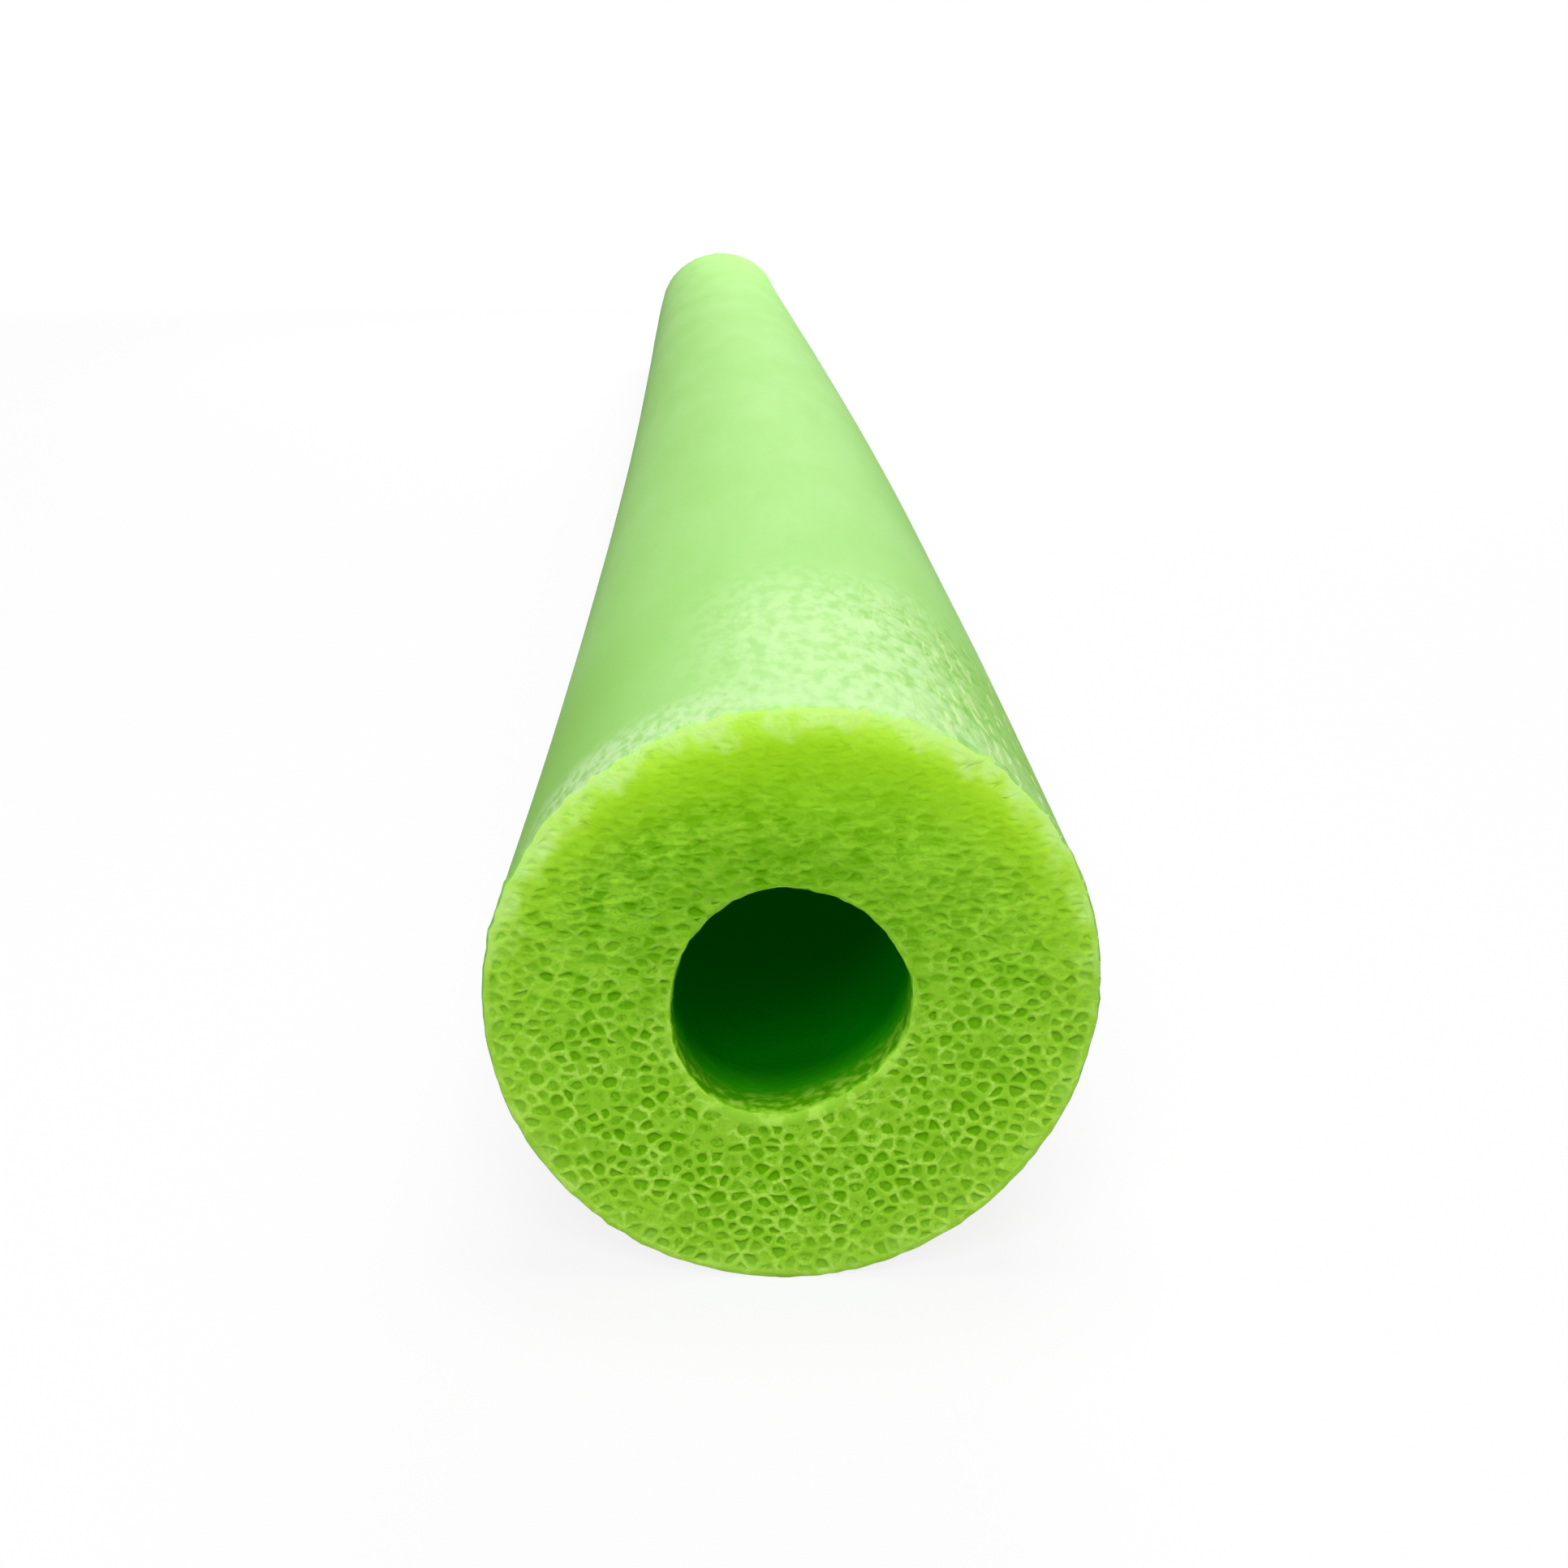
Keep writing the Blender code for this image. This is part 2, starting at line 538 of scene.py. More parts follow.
def cut_end(draw, corners, cells, place_along, inwards, bent=True):
    """Adds one end's cells, and returns its loops of points along skin and bore."""

    def at(flat, into):
        flat = np.array(flat)
        along = place_along + inwards * (inwards_waves(flat) + into)
        return np.column_stack((flat[:, 0], along, flat[:, 1]))

    used = sorted({corner for ring in cells for corner in ring})
    wander = draw.uniform(0, CREST_WANDER, len(used))
    net = dict(zip(used, add_points(at(corners[used], wander), 1, wander)))
    middles, walls = {}, count_walls(cells)
    if bent:
        for (one, other), count in walls.items():
            a, b = corners[one], corners[other]
            side = draw.uniform(-WALL_BEND, WALL_BEND) if count == 2 else 0
            off = side * np.array((a[1] - b[1], b[0] - a[0]))
            into = draw.uniform(0, CREST_WANDER)
            middles[one, other] = add_points(at([(a + b) / 2 + off], into), 1, into)[0]

    for ring, depth in zip(cells, cell_depths(draw, len(cells))):
        crest = []
        for one, other in pairs(ring):
            crest.append(net[one])
            if bent:
                crest.append(middles[named(one, other)])
        flat = np.array([(points[p][0], points[p][2]) for p in crest])
        centre = flat.mean(0)
        depth *= openness(centre[1])
        half_wall = HALF_WALL * draw.uniform(*HALF_WALL_SPREAD, (len(flat), 1))
        opening = rounded(flat - centre, half_wall)
        shade = draw.uniform()
        outer = crest
        for share, deep, top in ((1, RIM_DEPTH_SHARE, 0.5), (FOOT_SHARE, FOOT_DEPTH_SHARE, 0)):
            if top == 0 and not bent:
                continue
            into = depth * deep
            inner = add_points(at(centre + opening * share, into), top, into, shade)
            join_rings(outer, inner, CUT)
            outer = inner
        floor = add_points(at([centre], depth), 0, depth, shade)[0]
        for here in range(len(outer)):
            add_face(CUT, outer[here - 1], outer[here], floor)
    return edge_loops(walls, middles, net)


near_loops = cut_end(np.random.default_rng(11), near_corners, near_cells, 0, 1)
print("faces on the near cut:", len(faces), "loops:", [len(loop) for loop in near_loops])

# %% The far cut
far_corners, far_cells = net_of_walls(throw_centres(np.random.default_rng(23)))
far_draw = np.random.default_rng(29)
far_loops = cut_end(far_draw, far_corners, far_cells, LENGTH, -1, bent=False)
print("cells on the far cut:", len(far_cells))

# %% [markdown]
# ## The skin and the bore's wall
#
# Both are tubes of rings, 1 mm apart near each cut and ever further apart towards the
# middle, so the faces are spent where they show. The outline is rounded over where the blade
# broke through it, and the surface is pressed in and out by a fraction of a millimetre,
# because the die's skin sets over uneven bubbles. The end rings have other points than the
# edges of the cuts, so triangles zip the two together.

# %% Places of the rings
FINE_STEP = 1 * MM
STEP_GROWTH = 1.15
EDGE_STEPS = np.array([0, 0.12, 0.3, 0.6, 1.1]) * MM


def ring_places(near_fine, far_fine):
    """Distances along the tube, fine near both ends."""
    halves = []
    for fine in (near_fine, far_fine):
        places = list(EDGE_STEPS)
        step = FINE_STEP
        while places[-1] < LENGTH / 2:
            places.append(places[-1] + step)
            if places[-1] > fine:
                step *= STEP_GROWTH
        halves.append(np.array(places) * LENGTH / 2 / places[-1])
    near, far = halves
    near[: len(EDGE_STEPS)] = far[: len(EDGE_STEPS)] = EDGE_STEPS
    return np.concatenate((near[:-1], LENGTH - far[::-1]))


skin_places = ring_places(near_fine=50 * MM, far_fine=15 * MM)
bore_places = ring_places(near_fine=25 * MM, far_fine=10 * MM)
print("rings of the skin and the bore:", len(skin_places), len(bore_places))

# %% Bumps in and out
SKIN_RELIEF = ((18 * MM, 4.0, 0.1 * MM), (4 * MM, 2.0, 0.02 * MM))
BORE_RELIEF = ((7 * MM, 2.0, 0.22 * MM), (2.5 * MM, 1.5, 0.14 * MM))


def relief(angles, radii, along, layers):
    """Bumps in and out: each layer has a width, how many times longer it is, and a height."""
    total = np.zeros(len(angles))
    for width, longer, height in layers:
        for side, (angle, radius) in enumerate(zip(angles, radii)):
            place = Vector((radius * math.cos(angle), along / longer, radius * math.sin(angle)))
            total[side] += height * noise.noise(place / width)
    return total


bumps = relief(whole_turn, skin_edge(whole_turn), 0, SKIN_RELIEF)
print("bumps round the skin's first ring, mm:", round(1000 * np.ptp(bumps), 2))

# %% Draw the two tubes
SKIN_SIDES = 192
BORE_SIDES = 96
EDGE_ROUND = 0.25 * MM
EDGE_FADE = 0.25 * MM
EDGE_BUMPS = 1.1 * MM
EDGE_BUMP_WIDTH = 2.1 * MM
LOW_BUMP_SHARE = 0.35
BORE_BUMP_SHARE = 0.4
WAVE_FADE = 3 * MM


def draw_tube(finish, edge, sides, places, layers, outwards):
    """Rings of one tube from the near cut to the far cut, joined by faces."""
    angles = np.linspace(-math.pi, math.pi, sides + 1)[1:]
    radii = edge(angles)
    upper_share = LOW_BUMP_SHARE + (1 - LOW_BUMP_SHARE) * np.maximum(np.sin(angles), 0)
    rings = []
    for along in places:
        from_cut = min(along, LENGTH - along)
        edge_share = math.exp(-from_cut / EDGE_FADE)
        around = radii + relief(angles, radii, along, layers) - outwards * EDGE_ROUND * edge_share
        bumps = np.abs(relief(angles, radii, along, ((EDGE_BUMP_WIDTH, 1.0, EDGE_BUMPS),)))
        bumps *= upper_share if outwards > 0 else BORE_BUMP_SHARE
        around += outwards * bumps * math.exp(-from_cut / EDGE_BUMP_WIDTH)
        flat = np.column_stack((around * np.cos(angles), around * np.sin(angles)))
        cut_wave = inwards_waves(flat) * math.exp(-from_cut / WAVE_FADE)
        lift = along + (cut_wave if along < LENGTH / 2 else -cut_wave)
        rings.append(add_points(np.column_stack((flat[:, 0], lift, flat[:, 1])), wall_top=1))
    for one, other in zip(rings, rings[1:]):
        join_rings(one, other, finish)
    return rings


skin_rings = draw_tube(SKIN, skin_edge, SKIN_SIDES, skin_places, SKIN_RELIEF, 1)
bore_rings = draw_tube(BORE, bore_edge, BORE_SIDES, bore_places, BORE_RELIEF, -1)
print("points on a ring of the skin and the bore:", len(skin_rings[0]), len(bore_rings[0]))


# %% Zip the tubes to the cuts
def zip_loops(one, other, finish):
    """Triangles between two loops with unlike numbers of points, both sorted by angle."""
    loops, turns = [], []
    for loop in (one, other):
        turn = [math.atan2(points[p][2], points[p][0]) for p in loop]
        start = turn.index(min(turn))
        loops.append(loop[start:] + loop[: start + 1])
        turns.append(np.unwrap(turn[start:] + turn[: start + 1]))
    i = j = 0
    while i < len(one) or j < len(other):
        one_ahead = turns[0][i + 1] if i < len(one) else math.inf
        other_ahead = turns[1][j + 1] if j < len(other) else math.inf
        if one_ahead < other_ahead:
            add_face(finish, loops[0][i], loops[0][i + 1], loops[1][j])
            i += 1
        else:
            add_face(finish, loops[0][i], loops[1][j + 1], loops[1][j])
            j += 1


for loops, end in ((near_loops, 0), (far_loops, -1)):
    zip_loops(loops[0], skin_rings[end], CUT)
    zip_loops(loops[1], bore_rings[end], CUT)
print("points:", len(points), "faces:", len(faces))

# %% [markdown]
# ## From lists to one object
#
# `from_pydata` takes the lists as they are. Then bmesh turns every face outwards, which it
# can do because the surface is closed, and that is tested here too.

# %% Make the mesh
noodle_mesh = bpy.data.meshes.new("noodle_foam")
placed = lay_down(points)
noodle_mesh.from_pydata(placed.tolist(), [], faces)
flat = np.array(points)[:, (0, 2)]
notes["under_skin"] = from_skin(flat)
angles, radii = polar(flat)
notes["off_bore"] = radii - bore_edge(angles)
for name, values in notes.items():
    noodle_mesh.attributes.new(name, "FLOAT", "POINT").data.foreach_set("value", values)
noodle_mesh.polygons.foreach_set("material_index", finishes)
noodle_mesh.shade_smooth()
print("points that rest on the floor:", np.count_nonzero(placed[:, 2] == 0))

# %% Turn every face outwards
shell = bmesh.new()
shell.from_mesh(noodle_mesh)
bmesh.ops.recalc_face_normals(shell, faces=shell.faces)
open_edges = sum(not edge.is_manifold for edge in shell.edges)
print("volume, litres:", round(1000 * shell.calc_volume(), 3), "open edges:", open_edges)
print("triangles:", sum(len(face.verts) - 2 for face in shell.faces))
shell.to_mesh(noodle_mesh)
shell.free()


# %% Make the object
def put_in_scene(name, data):
    """A new object of this mesh, lamp or camera."""
    thing = bpy.data.objects.new(name, data)
    bpy.context.scene.collection.objects.link(thing)
    return thing


noodle = put_in_scene("noodle_foam", noodle_mesh)
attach(noodle, "root")
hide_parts("foam_tube")
print("object, mm:", [round(1000 * side, 1) for side in noodle.dimensions])

# %% [markdown]
# ## A flat place for every face
#
# To bake the node colours below into a picture, a mesh needs a UV map: a place on one square
# for every face. Smart UV Project would cut this one into thousands of scraps. But the tube's
# form is simple. Each cut is pressed flat as it stands, and the skin and the bore are slit
# along their underside and rolled out into strips. The near cut gets the most room, and both
# strips are stretched at their near end.

# %% Lay out the map
MAP_SIDE = 1024
MAP_MARGIN = 2
NEAR_CUT_ISLAND = (0, 400, 624, 624)  # left, low, width and height, out of MAP_SIDE
FAR_CUT_ISLAND = (624, 624, 400, 400)
SKIN_ISLAND = (0, 140, 1024, 260)
BORE_ISLAND = (0, 0, 1024, 136)
NEAR_END_POWER = 0.6


def lay_out(mesh):
    """The place on the map of each corner of each face."""
    corners = np.zeros(len(mesh.loops), int)
    mesh.loops.foreach_get("vertex_index", corners)
    starts = np.zeros(len(mesh.polygons), int)
    mesh.polygons.foreach_get("loop_start", starts)
    sides = np.diff(np.append(starts, len(corners)))
    finish = np.repeat(finishes, sides)
    across, along, up = np.array(points)[corners].T
    turn = np.arctan2(across, up) / math.tau + 1 / 2
    highest = np.repeat(np.maximum.reduceat(turn, starts), sides)
    turn[highest - turn > 1 / 2] += 1  # a face that lies over the slit stays in one piece
    turn /= 1 + 1 / BORE_SIDES
    reach = np.clip(along / LENGTH, 0, 1) ** NEAR_END_POWER
    width = 2 * np.hypot(across, up).max()
    cut = finish == CUT
    shares = np.where(cut, (across / width + 1 / 2, up / width + 1 / 2), (reach, turn))
    islands = np.array([NEAR_CUT_ISLAND, FAR_CUT_ISLAND, SKIN_ISLAND, BORE_ISLAND])
    choice = np.select([cut & (along < LENGTH / 2), cut, finish == SKIN], [0, 1, 2], 3)
    start, size = islands[choice, :2].T, islands[choice, 2:].T
    return ((start + MAP_MARGIN + shares * (size - 2 * MAP_MARGIN)) / MAP_SIDE).T


places = lay_out(noodle_mesh)
noodle_mesh.uv_layers.new(name="OFBake").data.foreach_set("uv", places.ravel())
print("map from", places.min(0).round(3), "to", places.max(0).round(3))

# %% [markdown]
# ## Colours
#
# Blender's nodes want linear colours. They could be typed as such, but colours written as
# they look on a screen are easier to compare with a picture, so one function turns these
# into linear ones.


# %% Colours
def linear(hex_colour):
    """An sRGB hex colour as Blender's linear red, green, blue and alpha."""
    levels = [int(hex_colour[place : place + 2], 16) / 255 for place in (1, 3, 5)]
    low_end, slope, lift, power = 0.04045, 12.92, 0.055, 2.4
    return [
        level / slope if level <= low_end else ((level + lift) / (1 + lift)) ** power
        for level in levels
    ] + [1.0]


print("mid grey, linear:", round(linear("#808080")[0], 3))

# %% [markdown]
# ## The skin
#
# This is low-density polyethylene foam, as extruded. Where the hot foam slid along the die,
# its outermost cells closed into a thin skin and were drawn out lengthwise. To the eye that
# is satin: pale, because the light scatters among the cells just under it, and faintly
# clouded. The last ten centimetres before the near cut carry a painted sheen, paler in
# patches: one sees pebbles, painted shade in the gaps between them and long torn strands.
#
# A painted picture could carry all this, but nodes stay sharp at every size. Places are
# measured on the real tube: X across it, Y along it from its middle, Z up from the floor.


# %% Skin: a new material
def new_material(name, mesh):
    """The node tree and the shader of a new material on this mesh."""
    material = bpy.data.materials.new(name)
    material.use_nodes = True
    mesh.materials.append(material)
    return material.node_tree, material.node_tree.nodes["Principled BSDF"]


tree, shader = new_material("extruded foam skin", noodle_mesh)
print("nodes to start with:", tree.nodes.keys())

# %% [markdown]
# One function adds all the other nodes. Their inputs come as a list, in their order, or as a
# dict, by name or number. Each takes a number, a colour or another node's output.
#
# Most of these nodes are of three kinds. Map Range turns a value into a mask: from 0 to 1, or
# between two more numbers, as the value goes from one end of a range to the other. Where the
# last of these numbers is a mask too, the two are multiplied, and Math multiplies the rest.
# Mix lays a colour (input 7) over the one before (input 6), as far as a mask (input 0) says,
# and gives the result as output 2.

# %% Skin: the first nodes
SMOOTH = dict(interpolation_type="SMOOTHSTEP")
TIMES = dict(operation="MULTIPLY")
TIMES_PLUS = dict(operation="MULTIPLY_ADD")
RGBA = dict(data_type="RGBA")


def plug(value, socket):
    """Links an output to this socket, or sets a number or a colour on it."""
    if isinstance(value, bpy.types.NodeSocket):
        tree.links.new(value, socket)
    else:
        socket.default_value = linear(value) if isinstance(value, str) else value


def add(kind, inputs=(), output=0, **settings):
    """Adds a node to the material in hand, and returns one of its outputs."""
    node = tree.nodes.new("ShaderNode" + kind)
    for name, value in settings.items():
        setattr(node, name, value)
    for name, value in inputs.items() if isinstance(inputs, dict) else enumerate(inputs):
        plug(value, node.inputs[name])
    return node.outputs[output]


where = add("TexCoord", output="Object")
x, y, z = add("SeparateXYZ", [where]).node.outputs
print("nodes that say where a point lies:", where.node.name, "and", x.node.name)

# %% Skin: masks for the painted sheen at the near end and its sides
AT_CUT = LENGTH / 2
along = add("Math", [y, -1.0], **TIMES)
by_cut = add("MapRange", [along, AT_CUT - 108 * MM, AT_CUT - 50 * MM], **SMOOTH)
off_left = add("MapRange", [x, -19 * MM, 0, 0.0, by_cut], **SMOOTH)
off_right = add("MapRange", [x, 28 * MM, 17 * MM, 0.15, 1.0], **SMOOTH)
# the zone of the painted sheen near the cut, where the pebbles' bumps are also stronger
painted_sheen_zone = add("Math", [off_left, off_right], **TIMES)
right_flank = add("MapRange", [x, -6 * MM, 24 * MM, 0.0, by_cut], **SMOOTH)
print("skin masks:", len(tree.nodes), "nodes")

# %% [markdown]
# On the whole length one sees clouds about 12 mm wide, drawn out to 70 mm, and under them the
# closed cells as very faint pebbles: 1.5 mm across, like the cells of the cut, and three times
# as long, with a faint painted shade in their furrows. Near the cut the pebbles carry a
# painted sheen, pale in patches. Round clouds would be simpler, but seen from this low they
# would lie across the tube like rings.

# %% Skin: clouds, pebbles and the painted sheen at the near end
CLOUD = (1 / (12 * MM), 1 / (70 * MM), 1 / (12 * MM))
clouds = add("VectorMath", [where, CLOUD], **TIMES)
clouds = add("TexNoise", {"Vector": clouds, "Scale": 1.0, "Detail": 3})
clouds = add("MapRange", [clouds, 0.3, 0.7], **SMOOTH)
PEBBLE = (1 / (1.5 * MM), 1 / (4.5 * MM), 1 / (1.5 * MM))
drawn_out = add("VectorMath", [where, PEBBLE], **TIMES)
pebbles = {"Vector": drawn_out, "Scale": 1.0, "Smoothness": 0.4}
pebbles = add("TexVoronoi", pebbles, feature="SMOOTH_F1")
# a faint painted shade in the furrows between the pebbles
furrow_shade = add("MapRange", [pebbles, 0.3, 0.75, 0.0, 0.05], **SMOOTH)
patches = add("TexNoise", {"Vector": drawn_out, "Scale": 0.8, "Detail": 4})
# painted sheen: a pale highlight on the near end, in patches
painted_sheen = add("MapRange", [patches, 0.35, 0.62, 0.35, 0.95], **SMOOTH)
painted_sheen = add("Math", [painted_sheen_zone, painted_sheen], **TIMES)
print("pebbles on the tube's length:", round(PEBBLE[1] * LENGTH))

# %% [markdown]
# Both flanks of the near end get a painted shade, a deeper green towards their edges.
# Painted shade also darkens the gaps between the pebbles of the right flank, and torn
# strands run along it.
# The real ones are a tenth of a millimetre wide, too fine to show here, so bundles of them
# are drawn, 1.2 mm wide.

# %% Skin: painted shade on the flanks and in the gaps, and strands
# painted shade: both flanks of the near end turn a deeper green towards their edges
painted_shade_left = add("MapRange", [x, -12 * MM, -31 * MM, 0.0, by_cut], **SMOOTH)
painted_shade_right = add("MapRange", [x, 8 * MM, 26 * MM, 0.0, 0.65], **SMOOTH)
painted_shade_right = add("Math", [by_cut, painted_shade_right], **TIMES)
# painted shade in the gaps between the pebbles of the right flank
gap_shade = add("MapRange", [pebbles, 0.4, 0.7, 0.0, 0.75], **SMOOTH)
dense = add("MapRange", [patches, 0.62, 0.4, 0.0, right_flank], **SMOOTH)
gap_shade = add("Math", [gap_shade, dense], **TIMES)
STRAND = (1 / (1.2 * MM), 1 / (12 * MM), 1 / (1.2 * MM))
strands = add("VectorMath", [where, STRAND], **TIMES)
strands = add("TexNoise", {"Vector": strands, "Scale": 1.0, "Detail": 2, "Distortion": 1.0})
strands = add("MapRange", [strands, 0.55, 0.66, 0.0, 0.85], **SMOOTH)
strands = add("Math", [right_flank, strands], **TIMES)
print("strands, length over width:", round(STRAND[0] / STRAND[1]))

# %% [markdown]
# Next to the cut the blade pushed up a band of pale lumps, most of all on the upper left. At
# the top the very edge is thin, and a painted glow shows there in places: the strong yellow
# green of light from above coming through the foam.

# %% Skin: lumps and the painted glow on the top edge
lumps = add("TexNoise", {"Vector": drawn_out, "Scale": 1.4, "Detail": 4})
lumps = add("MapRange", [lumps, 0.32, 0.62, 0.1, 0.8], **SMOOTH)
to_left = add("MapRange", [x, 2 * MM, -14 * MM, 0.3, 1.0], **SMOOTH)
upper_left = add("MapRange", [z, 44 * MM, 56 * MM, 0.0, to_left], **SMOOTH)
band = add("MapRange", [along, AT_CUT - 22 * MM, AT_CUT - 8 * MM, 0.0, upper_left], **SMOOTH)
lumps = add("Math", [lumps, band], **TIMES)
# painted glow: light from above that comes through the thin top edge of the skin
painted_edge_glow = add("TexNoise", {"Vector": where, "Scale": 1 / (2.6 * MM), "Detail": 1})
painted_edge_glow = add("Math", [painted_edge_glow, 7 * MM, along], **TIMES_PLUS)
at_top = add("MapRange", [z, 40 * MM, 60 * MM, 0.0, 0.9], **SMOOTH)
painted_edge_glow = add("MapRange", [painted_edge_glow, AT_CUT + 1.9 * MM, AT_CUT + 4.3 * MM, 0.0, at_top], **SMOOTH)
print("skin:", len(tree.nodes), "nodes")


# %% Skin: lay the colours over one another
def set_shader(**values):
    """Fills the shader's own sockets. Underscores stand for spaces in their names."""
    for name, value in values.items():
        plug(value, shader.inputs[name.replace("_", " ")])


colour = add("Mix", {0: clouds, 6: "#9FE174", 7: "#A6E57E"}, 2, **RGBA)
for mask, tint in (
    (furrow_shade, "#8FD45E"),
    (painted_sheen, "#C4F6A0"),
    (painted_shade_left, "#90D05E"),
    (painted_shade_right, "#8CCC50"),
    (gap_shade, "#7EC64C"),
    (strands, "#CEF798"),
    (lumps, "#D0F9B0"),
    (painted_edge_glow, "#C4F45C"),
):
    colour = add("Mix", {0: mask, 6: colour, 7: tint}, 2, **RGBA)
set_shader(Base_Color=colour)
print("skin colour is done:", len(tree.nodes), "nodes")

# %% [markdown]
# Polyethylene has an IOR of 1.51, and a moulded sheet a roughness near 0.4. The skin is a
# little rougher. In this pale studio it would mirror white all along its length, which the
# real one doesn't, because its pores break the mirror up. So its specular level is very low.
# The softness comes from light under the surface: green goes about 2 mm deep, and red and
# blue less.

# %% Skin: gloss, softness and bumps
set_shader(IOR=1.51, Roughness=0.5, Specular_IOR_Level=0.0025)
set_shader(Subsurface_Weight=0.5, Subsurface_Radius=(0.5, 1.0, 0.3), Subsurface_Scale=2 * MM)
bumpy = add("MapRange", [painted_sheen_zone, 0.0, 1.0, 0.05, 1.0], **SMOOTH)
bumps = {"Height": pebbles, "Distance": 0.25 * MM, "Strength": bumpy}
set_shader(Normal=add("Bump", bumps, invert=True))
print("skin roughness:", shader.inputs["Roughness"].default_value)

# %% [markdown]
# ## The cut
#
# The same foam, cut with a blade. Low down the blade went through cleanly. Each cell there is
# a small bowl, with thin pale walls and a floor that is darker the deeper it lies, partly as
# the deeper green of more foam and partly as painted shade. Higher up the blade dragged the
# soft walls over the openings, so the surface turns into short level streaks, and towards the
# upper skin it gets a painted glow of bright yellow green, from light above coming through.
#
# Masks for walls and floors could be guessed from noise. But the mesh knows where its walls
# are, and its points carry that as attributes. So the colours sit on the geometry.

# %% Cut: what the mesh knows
tree, shader = new_material("blade-cut foam cells", noodle_mesh)
wall_top, cell_depth, cell_shade, under_skin, off_bore = [
    add("Attribute", output="Fac", attribute_name=name) for name in notes
]
where = add("TexCoord", output="Object")
x, _, height = add("SeparateXYZ", [where]).node.outputs
crisp = add("MapRange", [height, 54 * MM, 18 * MM, 0.05, 1.0], **SMOOTH)
upper = add("MapRange", [height, 26 * MM, 60 * MM], **SMOOTH)
print("attributes of the mesh:", list(notes))

# %% Cut: four grains of noise
patchy, ragged, blobs = [
    add("TexNoise", {"Vector": where, "Scale": 1 / width, "Detail": detail})
    for width, detail in ((1.6 * MM, 3), (0.45 * MM, 3), (2.6 * MM, 1))
]
STREAK = (1 / (2.0 * MM), 1 / (2.0 * MM), 1 / (0.9 * MM))
streaks = add("VectorMath", [where, STREAK], **TIMES)
streaks = add("TexNoise", {"Vector": streaks, "Scale": 1.0, "Detail": 3, "Distortion": 0.5})
near_skin = add("Math", [streaks, 7 * MM, under_skin], **TIMES_PLUS)
near_skin = add("MapRange", [near_skin, 13 * MM, 4 * MM], **SMOOTH)
print("streaks, width over height:", round(STREAK[2] / STREAK[0], 1))

# %% [markdown]
# The smeared upper part mixes those streaks with each cell's own shade, half and half. With
# streaks alone it would look like brushed paint, and with shades alone like tiles. Painted
# light and shade lie over it: a yellow-green glow along the top and near the upper skin, a
# deeper shade just over the bore, where the wall has no foam behind it, and lighter paint to
# the right, where more light falls.

# %% Cut: smeared part
drag = add("MapRange", [streaks, 0.43, 0.57], **SMOOTH)
own = add("MapRange", [cell_shade, 0.2, 0.8], **SMOOTH)
drag = add("Mix", {0: 0.5, 2: drag, 3: own}, data_type="FLOAT")
# painted glow: yellow green along the top of the cut, from light above
painted_top_glow = add("MapRange", [height, 44 * MM, 60 * MM, 0.0, 0.7], **SMOOTH)
# painted shade just over the bore, where the wall has no foam behind it
painted_shade_over_bore = add("MapRange", [off_bore, 10 * MM, 2 * MM, 0.0, 0.5], **SMOOTH)
# painted light on the right side of the upper cut
lit_side = add("MapRange", [x, 0, 24 * MM, 0.0, 0.4], **SMOOTH)
lit_side = add("Math", [lit_side, upper], **TIMES)
# painted glow near the upper skin, where light from above comes through
painted_glow_near_skin = add("Math", [near_skin, upper], **TIMES)
smeared = add("Mix", {0: drag, 6: "#62AC00", 7: "#A6E23C"}, 2, **RGBA)
for mask, tint in (
    (painted_top_glow, "#9CDE16"),
    (painted_shade_over_bore, "#68AC06"),
    (lit_side, "#ACE638"),
    (painted_glow_near_skin, "#B6EE2C"),
):
    smeared = add("Mix", {0: mask, 6: smeared, 7: tint}, 2, **RGBA)
print("smeared part:", len(tree.nodes), "nodes")

# %% [markdown]
# In the open part, a noise of half a millimetre shifts the borders of walls and floors to and
# fro, because torn films leave them ragged. The real films are far thinner, down to a
# fiftieth of a millimetre, and are drawn as wide as they need to show.

# %% Cut: open part
torn = add("Math", [ragged, 1.8, -0.9], **TIMES_PLUS)
walls = add("Math", [wall_top, torn], operation="ADD")
walls = add("MapRange", [walls, 0.36, 0.92], **SMOOTH)
# partly painted shade: floors darker the deeper they lie, partly the deeper green of more foam
deep = add("Math", [torn, 0.5 * MM, cell_depth], **TIMES_PLUS)
deep = add("MapRange", [deep, 0.08 * MM, 0.36 * MM, 0.0, 0.9], **SMOOTH)
sides = add("Mix", {0: cell_shade, 6: "#80C11E", 7: "#A1DC3B"}, 2, **RGBA)
shaded_bowls = add("Mix", {0: deep, 6: sides, 7: "#6EB404"}, 2, **RGBA)
pale = add("MapRange", [patchy, 0.44, 0.62], **SMOOTH)
crests = add("Mix", {0: pale, 6: "#96D232", 7: "#B8EA5C"}, 2, **RGBA)
opened = add("Mix", {0: walls, 6: shaded_bowls, 7: crests}, 2, **RGBA)
lit = add("Math", [near_skin, 0.25], **TIMES)
opened = add("Mix", {0: lit, 6: opened, 7: "#B4E444"}, 2, **RGBA)
colour = add("Mix", {0: crisp, 6: smeared, 7: opened}, 2, **RGBA)
print("open part:", len(tree.nodes), "nodes")

# %% [markdown]
# Two edges are paler than the rest. The lower lip of the bore was squeezed shut by the blade,
# and it gets a painted highlight of the light from above. Along the upper skin the foam is
# thin, and it gets a painted glow of light from above that comes through it. Flecks of the
# skin itself were dragged down over it, most of all to the left and the right.

# %% Cut: lip and rim
flecked = add("MapRange", [patchy, 0.4, 0.6, 0.25, 0.9], **SMOOTH)
low_down = add("MapRange", [height, 36 * MM, 20 * MM, 0.0, flecked], **SMOOTH)
